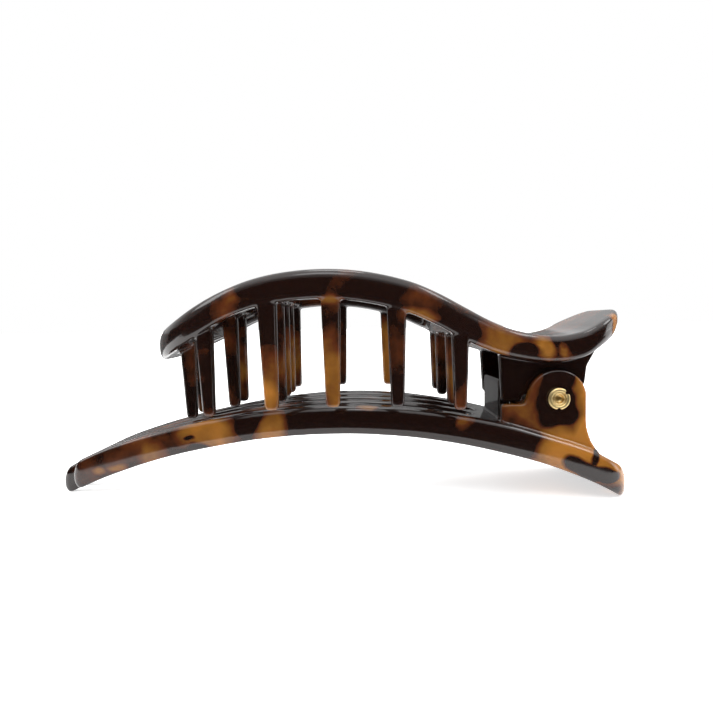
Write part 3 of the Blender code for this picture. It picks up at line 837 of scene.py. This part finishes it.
def teeth_mesh(settings, look):
    """All the teeth, each fixed at a point in the underside of the ring."""
    rows = []
    for x, y, tip, root_width, tip_width, lean, paired in TEETH:
        root = section(UPPER_SECTIONS, x)[0] + TOOTH_EMBED
        for sign in (-1, 1) if paired else (1,):
            rows.append(((x, sign * y, root), root - tip, root_width, tip_width, lean))
    mesh = bpy.data.meshes.new("tooth_points")
    mesh.from_pydata([Vector(row[0]) * MM for row in rows], [], [])
    for column, name in enumerate(("length", "root_width", "tip_width", "lean"), start=1):
        values = mesh.attributes.new(name, "FLOAT", "POINT").data
        for item, row in zip(values, rows):
            item.value = row[column] * MM
    points = new_object("tooth_points", mesh)
    return run_tree(points, tooth_tree(settings), {"Material": look})


def fused(name, meshes, bore, settings, look):
    """One moulded shell of all the meshes, with its inner corners softened and the bore cut through."""
    shape = bmesh.new()
    for mesh in meshes:
        shape.from_mesh(mesh)
    obj = new_object(name, shape_to_mesh(shape, name))
    drill = new_object(name + "_bore", bore)
    remesh = obj.modifiers.new("Fuse", "REMESH")
    remesh.mode = "VOXEL"
    remesh.voxel_size = settings.grain
    remesh.adaptivity = 0.0
    smooth = obj.modifiers.new("Soften", "SMOOTH")
    smooth.factor = 0.5
    smooth.iterations = settings.softening
    fewer = obj.modifiers.new("Fewer faces", "DECIMATE")
    fewer.ratio = settings.kept
    cut = obj.modifiers.new("Bore", "BOOLEAN")
    cut.operation = "DIFFERENCE"
    cut.solver = "EXACT"
    cut.object = drill
    mesh = baked_mesh(obj)
    obj.modifiers.clear()
    obj.data = mesh
    bpy.data.objects.remove(drill, do_unlink=True)
    mesh.name = name
    mesh.materials.clear()
    mesh.materials.append(look)
    shade(mesh, MOULDED_CREASE)
    return obj


def bare_material(name):
    """A new material and its node tree, with no nodes in it."""
    look = bpy.data.materials.new(name)
    look.use_nodes = True
    look.node_tree.nodes.clear()
    return look, look.node_tree


def colour_ramp(tree, value, stops):
    """A colour ramp on the value, through the position and colour of each stop."""
    ramp = add_node(tree, "ShaderNodeValToRGB", {"Fac": value})
    elements = ramp.color_ramp.elements
    while len(elements) < len(stops):
        elements.new(0.5)
    for element, (position, colour) in zip(elements, stops):
        element.position = position
        element.color = (*colour, 1.0)
    return ramp


def tortoiseshell(name, blotches, colours):
    """Injection-moulded and polished tortoiseshell acetate.

    Clear amber and near black flakes lie deep in it with feathered edges, and a tumble-polished
    skin over them gives clean soft reflections. Light goes a few millimetres into the amber.
    """
    look, tree = bare_material(name)
    maths = maths_in(tree)
    vectors = maths_in(tree, "ShaderNodeVectorMath")
    place = add_node(tree, "ShaderNodeTexCoord").outputs["Object"]
    # Flakes bend over about 9 mm and their edges feather over about 1.5 mm
    drift = add_node(tree, "ShaderNodeTexNoise", {"Vector": place, "Scale": 110.0, "Detail": 2.0})
    centred = vectors("SUBTRACT", drift.outputs["Color"], (0.5, 0.5, 0.5))
    warped = vectors("MULTIPLY_ADD", centred, (FLAKE_DRIFT * MM,) * 3, place)
    flakes = add_node(tree, "ShaderNodeTexNoise", {
        "Vector": warped, "Scale": 75.0, "Detail": 2.0, "Roughness": 0.45,
    })
    feather = add_node(tree, "ShaderNodeTexNoise", {
        "Vector": place, "Scale": 620.0, "Detail": 3.0, "Roughness": 0.6,
    })
    field = maths("MULTIPLY_ADD", flakes.outputs["Fac"], FLAKE_CONTRAST, FLAKE_LEVEL)
    # Each blotch pulls the colour towards amber or near black round its centre; a few on the lower jaw are
    # painted shade
    for x, y, z, reach_x, reach_y, reach_z, strength in blotches:
        local = add_node(tree, "ShaderNodeMapping", {
            "Vector": warped,
            "Location": (x * MM, y * MM, z * MM),
            "Scale": (reach_x * MM, reach_y * MM, reach_z * MM),
        }, vector_type="TEXTURE")
        near = add_node(tree, "ShaderNodeTexGradient", {"Vector": local}, gradient_type="SPHERICAL")
        full = maths("MINIMUM", maths("MULTIPLY", near.outputs["Fac"], BLOTCH_FULLNESS), 1.0)
        field = maths("MULTIPLY_ADD", full, strength, field)
    edges = maths("MULTIPLY_ADD", feather.outputs["Fac"], FEATHER_DEPTH, -FEATHER_DEPTH / 2)
    field = maths("ADD", field, edges)
    ramp = colour_ramp(tree, field, (
        (0.34, colours.dark), (0.50, colours.brown), (0.66, colours.amber * 0.5), (0.90, colours.amber),
    ))
    # Moulding leaves the skin very slightly wavy, over about 5 mm
    wave = add_node(tree, "ShaderNodeTexNoise", {"Vector": place, "Scale": 190.0, "Detail": 1.0})
    bump = add_node(tree, "ShaderNodeBump", {
        "Height": wave.outputs["Fac"], "Strength": 0.25, "Distance": 0.00012,
    })
    shader = add_node(tree, "ShaderNodeBsdfPrincipled", {
        "Base Color": ramp.outputs["Color"],
        "Roughness": colours.roughness,
        "IOR": 1.49,
        "Subsurface Weight": 0.35,
        "Subsurface Radius": (1.0, 0.45, 0.18),
        "Subsurface Scale": 0.003,
        "Normal": bump.outputs["Normal"],
    })
    add_node(tree, "ShaderNodeOutputMaterial", {"Surface": shader})
    return look


def worn_metal(name, colour, roughness, marks_per_metre):
    """A drawn or rolled metal, with its colour, roughness and height broken up by fine tool marks."""
    look, tree = bare_material(name)
    place = add_node(tree, "ShaderNodeTexCoord").outputs["Object"]
    stretched = add_node(tree, "ShaderNodeMapping", {"Vector": place, "Scale": marks_per_metre})
    marks = add_node(tree, "ShaderNodeTexNoise", {"Vector": stretched, "Scale": 1.0, "Detail": 3.0})
    sheen = add_node(tree, "ShaderNodeMapRange", {
        "Value": marks.outputs["Fac"], "To Min": roughness * 0.7, "To Max": roughness * 1.4,
    })
    bright = linear(colour)
    dull = [c * 0.6 for c in bright]
    tint = colour_ramp(tree, marks.outputs["Fac"], ((0.25, dull), (0.6, bright)))
    bump = add_node(tree, "ShaderNodeBump", {
        "Height": marks.outputs["Fac"], "Strength": 0.3, "Distance": 0.00004,
    })
    shader = add_node(tree, "ShaderNodeBsdfPrincipled", {
        "Base Color": tint.outputs["Color"],
        "Metallic": 1.0,
        "Roughness": sheen.outputs["Result"],
        "Normal": bump.outputs["Normal"],
    })
    add_node(tree, "ShaderNodeOutputMaterial", {"Surface": shader})
    return look


def lip_profile(sizes):
    """Half of the rivet's section from its middle out: dished end, lip, groove, roll and barrel."""
    bore, radius, flange, roll = (v / MM for v in (sizes.bore, sizes.radius, sizes.flange, sizes.roll))
    face = LOWER_EAR_OUTSIDE + RIVET_GAP
    dish_rim = face - sizes.bore_depth / MM
    crown = face + roll
    dish = [(bore * sin(a), dish_rim - DISH_DEPTH * cos(a)) for a in DISH_ANGLES]
    lip_centre = (bore + LIP_THICKNESS, crown - LIP_SINK)
    lip = arc(lip_centre, (LIP_THICKNESS, LIP_THICKNESS), pi, -pi, steps=8)
    roll_centre = (flange - ROLL_WIDTH, crown - ROLL_HEIGHT)
    crest = arc(roll_centre, (ROLL_WIDTH, ROLL_HEIGHT), pi, ROLL_TURN, steps=20)
    return [*dish, *lip, *crest, (flange - ROLL_UNDERCUT, face), (radius, face), (radius, 0.0)]


def split_limit(angle, flange):
    """How far out the flange reaches at an angle, given the notches where it split as it was rolled."""
    limits = [flange]
    for middle, bottom, half_width in RIVET_SPLITS:
        away = abs((angle - radians(middle) + pi) % (2 * pi) - pi)
        limits.append(bottom + (flange - bottom) * away / radians(half_width))
    return min(limits)


def half_rivet(sizes):
    """One end of the rivet, open at the clip's middle, turned round Z with its flange split."""
    shape = bmesh.new()
    points = [shape.verts.new((radius * MM, 0.0, along * MM)) for radius, along in lip_profile(sizes)]
    edges = [shape.edges.new(pair) for pair in zip(points, points[1:])]
    bmesh.ops.spin(
        shape, geom=points + edges, cent=(0.0, 0.0, 0.0), axis=(0.0, 0.0, 1.0), angle=2 * pi,
        steps=RIVET_SIDES, use_merge=True, use_duplicate=False,
    )
    for v in shape.verts:
        reach = v.co.xy.length
        limit = split_limit(atan2(v.co.y, v.co.x), sizes.flange / MM) * MM
        if reach > limit:
            v.co.xy *= limit / reach
    bmesh.ops.remove_doubles(shape, verts=shape.verts, dist=CUT_TOLERANCE)
    bmesh.ops.recalc_face_normals(shape, faces=shape.faces)
    return shape_to_mesh(shape, "half_rivet")


def rivet_tree():
    """Sets the object's half rivet at both ends of the axle and joins the two into one."""
    tree, given, result = new_tree("Rivet ends", [
        ("Ends", "NodeSocketInt", 2),
        ("Material", "NodeSocketMaterial", None),
    ])
    ends = add_node(tree, "GeometryNodeMeshLine", {"Count": given["Ends"], "Offset": (0.0, 0.0, 0.0)})
    index = tree.nodes.new("GeometryNodeInputIndex")
    flip = maths_in(tree)("MULTIPLY", index, pi)
    turn_over = add_node(tree, "ShaderNodeCombineXYZ", {0: flip, 1: 0.0, 2: 0.0})
    placed = add_node(tree, "GeometryNodeInstanceOnPoints", {
        "Points": ends, "Instance": given["Geometry"], "Rotation": turn_over,
    })
    real = add_node(tree, "GeometryNodeRealizeInstances", {0: placed})
    joined = add_node(tree, "GeometryNodeMergeByDistance", {"Geometry": real, "Distance": MERGE_DISTANCE})
    return finish_tree(tree, joined, given["Material"], result)


def wire_tree():
    """Sweeps a round section along the object's edges."""
    tree, given, result = new_tree("Drawn wire", [
        ("Radius", "NodeSocketFloat", 0.5 * MM),
        ("Material", "NodeSocketMaterial", None),
    ])
    curve = add_node(tree, "GeometryNodeMeshToCurve", {0: given["Geometry"]})
    round_section = add_node(
        tree, "GeometryNodeCurvePrimitiveCircle", {"Resolution": 16, "Radius": given["Radius"]}
    )
    swept = add_node(tree, "GeometryNodeCurveToMesh", {
        "Curve": curve, "Profile Curve": round_section, "Fill Caps": True,
    })
    real = add_node(tree, "GeometryNodeRealizeInstances", {0: swept})
    return finish_tree(tree, real, given["Material"], result)


def tangent_angle(x, z, radius, upper):
    """Angle on the coil where a straight arm from (x, z) meets it, over or under the coil."""
    away = sqrt((x - HINGE_X) ** 2 + (z - HINGE_Z) ** 2)
    towards = atan2(z - HINGE_Z, x - HINGE_X)
    opening = atan2(sqrt(away ** 2 - radius ** 2), radius)
    return towards + opening if upper else towards - opening


def spring_path(settings):
    """Points along the wire: an arm on the tail, the coil round the rivet, an arm under the tab."""
    wire, coil, end_x = settings.wire / MM, settings.coil / MM, settings.arm_end / MM
    half_length = settings.half_length / MM
    low_z = section(LOWER_SECTIONS, end_x)[1] + wire + ARM_GAP
    high_z = section(UPPER_SECTIONS, end_x)[0] - wire - ARM_GAP
    first = tangent_angle(end_x, low_z, coil, False)
    last = tangent_angle(end_x, high_z, coil, True) - 2 * pi * (settings.turns + 1)
    steps = int(POINTS_PER_TURN * (first - last) / (2 * pi))
    path = [(end_x, -half_length, low_z)]
    for k in range(steps + 1):
        t = k / steps
        angle = first + (last - first) * t
        path.append((
            HINGE_X + coil * cos(angle),
            half_length * (2 * t - 1),
            HINGE_Z + coil * sin(angle),
        ))
    path.append((end_x, half_length, high_z))
    return path


class HAIRCLIP_OT_lower_jaw(bpy.types.Operator):
    """Make the curved prong plate with its ears and cross wall"""
    bl_idname = "hairclip.lower_jaw"
    bl_label = "Lower jaw"

    def execute(self, context):
        sizes = context.scene.hair_clip_moulding
        look = tortoiseshell("tortoiseshell_acetate_lower", LOWER_BLOTCHES_AND_SHADE, context.scene.hair_clip_shell)
        edge = sizes.edge_round / MM
        flat = flat_solid("plate", [plate_outline()], LOWER_HALF_HEIGHT, edge)
        plate = bend(flat, LOWER_SECTIONS, LOWER_HALF_HEIGHT, edge, sizes.slice_length, prong_height)
        meshes = [plate, cross_wall()]
        for sign in (-1, 1):
            meshes.append(ear("lower_ear", lower_ear_outline(sign < 0), sign * LOWER_EAR_OUTSIDE))
        rivet = context.scene.hair_clip_rivet
        bore = axle_bore((rivet.radius + rivet.clearance) / MM, LOWER_EAR_OUTSIDE + BORE_OVERRUN)
        jaw = fused("lower_jaw_shell", meshes, bore, sizes, look)
        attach(jaw, "plate")
        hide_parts("lower_jaw")
        return {"FINISHED"}


class HAIRCLIP_OT_upper_jaw(bpy.types.Operator):
    """Make the open ring with its thumb tab, crossbars, teeth and ears"""
    bl_idname = "hairclip.upper_jaw"
    bl_label = "Upper jaw"

    def execute(self, context):
        sizes = context.scene.hair_clip_moulding
        look = tortoiseshell("tortoiseshell_acetate_upper", UPPER_BLOTCHES, context.scene.hair_clip_shell)
        edge = sizes.edge_round / MM
        outlines = [mirrored(ring_outline()), mirrored(window_outline())]
        flat = flat_solid("ring", outlines, UPPER_HALF_HEIGHT, edge)
        meshes = [bend(flat, UPPER_SECTIONS, UPPER_HALF_HEIGHT, edge, sizes.slice_length)]
        meshes += [crossbar(*row) for row in BARS]
        meshes.append(teeth_mesh(context.scene.hair_clip_teeth, look))
        for sign in (-1, 1):
            meshes.append(ear("upper_ear", rounded(UPPER_EAR_OUTLINE, 6), sign * UPPER_EAR_OUTSIDE))
        rivet = context.scene.hair_clip_rivet
        bore = axle_bore((rivet.radius + rivet.clearance) / MM, UPPER_EAR_OUTSIDE + BORE_OVERRUN)
        jaw = fused("upper_jaw_shell", meshes, bore, sizes, look)
        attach(jaw, "ring")
        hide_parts("upper_jaw")
        return {"FINISHED"}


class HAIRCLIP_OT_rivet(bpy.types.Operator):
    """Make the brass rivet with a dished end and a rolled, split flange on each side"""
    bl_idname = "hairclip.rivet"
    bl_label = "Rivet"

    def execute(self, context):
        look = worn_metal("rolled_brass", "#ffe2a2", 0.36, (9000.0, 2500.0, 9000.0))
        half = new_object("half_rivet", half_rivet(context.scene.hair_clip_rivet))
        mesh = run_tree(half, rivet_tree(), {"Ends": 2, "Material": look})
        mesh.name = "rivet_brass"
        lay_on_axle(mesh)
        shade(mesh, ROLLED_CREASE)
        rivet = new_object("rivet_brass", mesh)
        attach(rivet, "plate")
        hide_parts("hinge_rivet")
        return {"FINISHED"}


class HAIRCLIP_OT_spring(bpy.types.Operator):
    """Make the torsion spring round the rivet"""
    bl_idname = "hairclip.spring"
    bl_label = "Spring"

    def execute(self, context):
        sizes = context.scene.hair_clip_spring
        look = worn_metal("drawn_spring_steel", "#9b9a96", 0.3, (5000.0, 5000.0, 5000.0))
        path = spring_path(sizes)
        line = bpy.data.meshes.new("spring_line")
        line.from_pydata(
            [Vector(p) * MM for p in path], [(k, k + 1) for k in range(len(path) - 1)], []
        )
        guide = new_object("spring_line", line)
        mesh = run_tree(guide, wire_tree(), {"Radius": sizes.wire, "Material": look})
        mesh.name = "spring_wire"
        shade(mesh, MOULDED_CREASE)
        spring = new_object("spring_wire", mesh)
        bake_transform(spring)
        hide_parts("torsion_spring")
        return {"FINISHED"}


def add_softbox(name, place, size, brightness):
    """A square softbox at place, in metres, that faces the clip."""
    light = bpy.data.lights.new(name, "AREA")
    light.shape = "SQUARE"
    light.size = size
    light.energy = brightness * pi * size ** 2
    obj = new_object(name, light)
    obj.location = place
    obj.rotation_euler = (-Vector(place)).to_track_quat("-Z", "Y").to_euler()


def plain_card(name, colour, roughness, glow=0.0):
    look = bpy.data.materials.new(name)
    look.use_nodes = True
    shader = look.node_tree.nodes["Principled BSDF"]
    shader.inputs["Base Color"].default_value = (*linear(colour), 1.0)
    shader.inputs["Roughness"].default_value = roughness
    shader.inputs["Emission Color"].default_value = (1.0, 1.0, 1.0, 1.0)
    shader.inputs["Emission Strength"].default_value = glow
    return look


class HAIRCLIP_OT_stage(bpy.types.Operator):
    """Make the pale floor, the flags, the soft studio light and the camera"""
    bl_idname = "hairclip.stage"
    bl_label = "Stage"

    def execute(self, context):
        settings = context.scene.hair_clip_stage
        self.add_floor(settings)
        for flag in FLAGS:
            self.add_flag(*flag)
        self.add_room(context.scene, settings)
        for name, place, size, share in SOFTBOXES:
            add_softbox(name, place, size, settings.softboxes * share)
        self.add_camera(context.scene, settings)
        context.scene.view_settings.view_transform = "Standard"
        return {"FINISHED"}

    def add_floor(self, settings):
        shape = bmesh.new()
        bmesh.ops.create_grid(shape, x_segments=1, y_segments=1, size=settings.floor_size / 2)
        floor = new_object("floor", shape_to_mesh(shape, "floor"))
        floor.location.z = CAD_BOX[0].z - FLOOR_GAP * MM
        floor.data.materials.append(plain_card("lit_opal_acrylic", "#f7f7f7", 0.8, settings.floor_glow))

    def add_flag(self, name, colour, low, high):
        """A dark card that only reflections see, so that the clip's upright faces stay dark."""
        flag = new_object(name, box_mesh(name, between(low, high)))
        flag.data.materials.append(plain_card(name + "_flock", colour, 1.0))
        flag.visible_camera = False
        flag.visible_diffuse = False
        flag.visible_transmission = False
        flag.visible_shadow = False

    def add_room(self, scene, settings):
        """A white light tent: bright overhead, dimmer at its back wall and at its open front."""
        world = bpy.data.worlds.new("white_light_tent")
        world.use_nodes = True
        tree = world.node_tree
        tree.nodes.clear()
        direction = add_node(tree, "ShaderNodeTexCoord").outputs["Generated"]
        axes = add_node(tree, "ShaderNodeSeparateXYZ", {0: direction}).outputs
        wall = add_node(tree, "ShaderNodeMapRange", {
            "Value": axes["Y"], "From Min": 0.05, "From Max": 0.5,
            "To Min": settings.front, "To Max": settings.backdrop,
        }, interpolation_type="SMOOTHSTEP").outputs["Result"]
        rise = add_node(tree, "ShaderNodeMapRange", {
            "Value": axes["Z"], "From Min": 0.35, "From Max": 0.85,
        }, interpolation_type="SMOOTHSTEP").outputs["Result"]
        white = (1.0, 1.0, 1.0, 1.0)
        strength = add_node(tree, "ShaderNodeMix", {"Factor": rise, 2: wall, 3: settings.overhead})
        lit = add_node(tree, "ShaderNodeBackground", {"Color": white, "Strength": strength})
        seen = add_node(tree, "ShaderNodeBackground", {"Color": white, "Strength": 1.0})
        ray = tree.nodes.new("ShaderNodeLightPath").outputs["Is Camera Ray"]
        either = add_node(tree, "ShaderNodeMixShader", {0: ray, 1: lit, 2: seen})
        add_node(tree, "ShaderNodeOutputWorld", {"Surface": either})
        scene.world = world

    def add_camera(self, scene, settings):
        """The photographer's place, worked out from the clip's own size and outline."""
        yaw, pitch, roll = (radians(angle) for angle in CAMERA_TURN)
        ahead = Vector((-sin(yaw) * cos(pitch), cos(yaw) * cos(pitch), sin(pitch)))
        right = Vector((cos(yaw), sin(yaw), 0.0))
        up = right.cross(ahead)
        rolled_right = cos(roll) * right + sin(roll) * up
        rolled_up = cos(roll) * up - sin(roll) * right
        camera = bpy.data.cameras.new("camera")
        camera.lens = settings.lens
        camera.sensor_width = 36.0
        camera.clip_start = 0.005
        camera.clip_end = 20.0
        obj = new_object("camera", camera)
        turned_axes = Matrix((rolled_right, rolled_up, -ahead)).transposed().to_4x4()
        obj.matrix_world = Matrix.Translation(Vector(CAMERA_PLACE) * MM) @ turned_axes
        scene.camera = obj


class HAIRCLIP_PT_panel(bpy.types.Panel):
    """The pieces of the clip, each with its sizes"""
    bl_idname = "HAIRCLIP_PT_panel"
    bl_label = "Hair clip"
    bl_space_type = "VIEW_3D"
    bl_region_type = "UI"
    bl_category = "Hair clip"

    def draw(self, context):
        for attribute, operators in PANEL_ROWS:
            box = self.layout.box()
            settings = getattr(context.scene, attribute)
            for key in settings.__annotations__:
                box.prop(settings, key)
            for operator in operators:
                box.operator(operator)


PANEL_ROWS = (
    ("hair_clip_shell", ()),
    ("hair_clip_moulding", ("hairclip.lower_jaw",)),
    ("hair_clip_teeth", ("hairclip.upper_jaw",)),
    ("hair_clip_rivet", ("hairclip.rivet",)),
    ("hair_clip_spring", ("hairclip.spring",)),
    ("hair_clip_stage", ("hairclip.stage",)),
)
SETTINGS = {
    "hair_clip_moulding": HairClipMoulding,
    "hair_clip_teeth": HairClipTeeth,
    "hair_clip_rivet": HairClipRivet,
    "hair_clip_spring": HairClipSpring,
    "hair_clip_shell": HairClipShell,
    "hair_clip_stage": HairClipStage,
}
OPERATORS = (
    HAIRCLIP_OT_lower_jaw,
    HAIRCLIP_OT_upper_jaw,
    HAIRCLIP_OT_rivet,
    HAIRCLIP_OT_spring,
    HAIRCLIP_OT_stage,
)
CLASSES = (*SETTINGS.values(), *OPERATORS, HAIRCLIP_PT_panel)


def register():
    for item in CLASSES:
        bpy.utils.register_class(item)
    for attribute, group in SETTINGS.items():
        setattr(bpy.types.Scene, attribute, bpy.props.PointerProperty(type=group))


def unregister():
    for attribute in SETTINGS:
        delattr(bpy.types.Scene, attribute)
    for item in reversed(CLASSES):
        bpy.utils.unregister_class(item)


def main():
    register()
    bpy.ops.hairclip.lower_jaw()
    bpy.ops.hairclip.upper_jaw()
    bpy.ops.hairclip.rivet()
    bpy.ops.hairclip.spring()
    bpy.ops.hairclip.stage()


if __name__ == "__main__":
    main()
